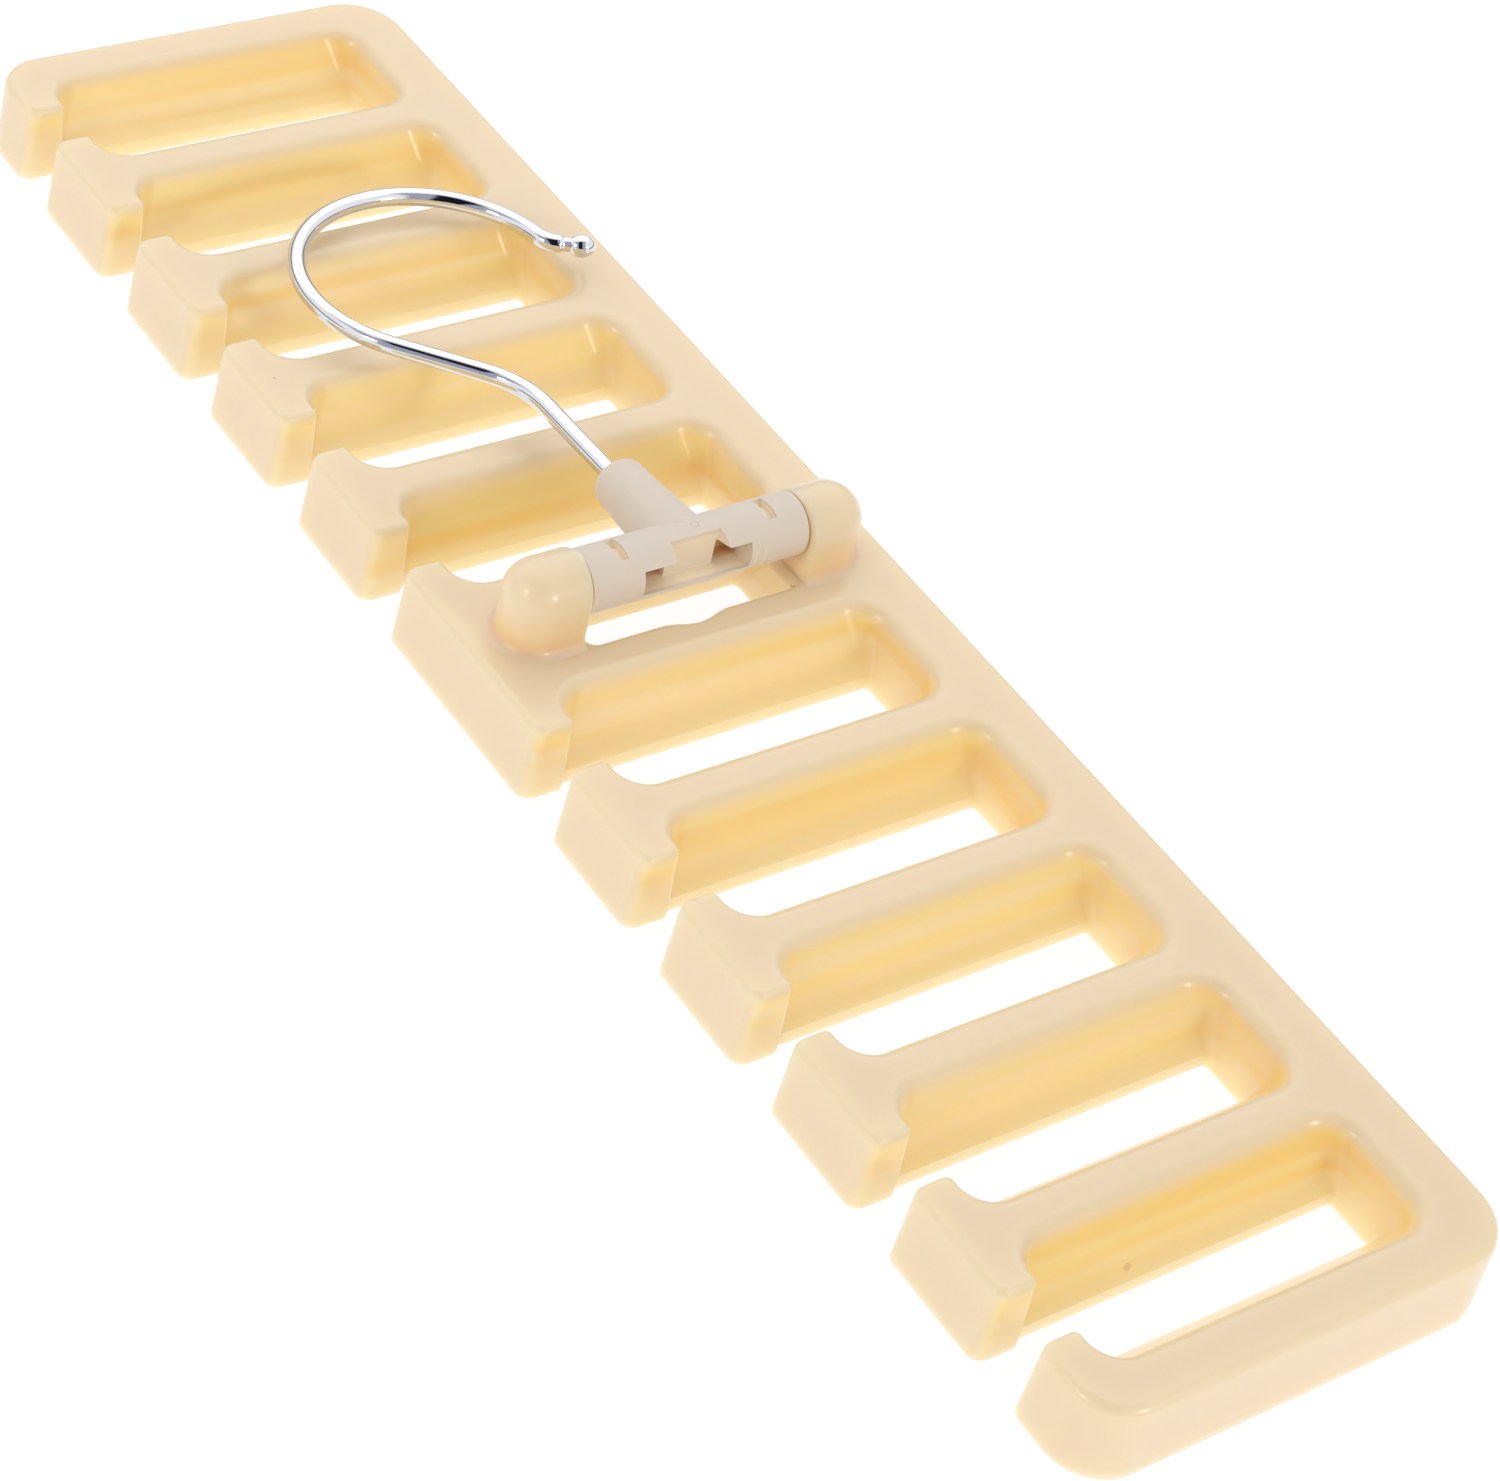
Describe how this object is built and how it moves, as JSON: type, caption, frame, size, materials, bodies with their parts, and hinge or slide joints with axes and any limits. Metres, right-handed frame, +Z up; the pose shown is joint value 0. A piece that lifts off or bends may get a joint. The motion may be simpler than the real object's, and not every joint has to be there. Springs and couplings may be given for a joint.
{
  "type": "belt hanger",
  "caption": "Comb-shaped moulded hanger for belts: open-ended slots between T-headed fingers, a pivot piece folding on two ears, and a round wire hook with a ball tip.",
  "frame": {"origin": "centre of the underside's outline, on the underside", "axes": "+X along the comb, away from the half on which the hook rests; +Y from the finger heads to the spine; +Z up, out of the side with the pivot"},
  "size_m": [0.3086, 0.0748, 0.0264],
  "materials": {
    "ivory_plastic": "semi-gloss moulded",
    "greige_plastic": "satin moulded",
    "chrome_wire": "polished"
  },
  "bodies": {
    "comb": {"comb_plate": "ivory_plastic"},
    "pivot": {"pivot_piece": "greige_plastic"},
    "hook": {"wire_hook": "chrome_wire"}
  },
  "joints": [
    {"name": "hook_fold", "type": "hinge", "parent": "comb", "child": "pivot", "pos_m": [0, -0.0005, 0.0208], "axis": [0, 1, 0], "range_deg": [0, 185.2]},
    {"name": "hook_swivel", "type": "hinge", "parent": "pivot", "child": "hook", "pos_m": [0, -0.0005, 0.0208], "axis": [-0.999, 0, -0.0454], "range_deg": [-3, 3]}
  ]
}
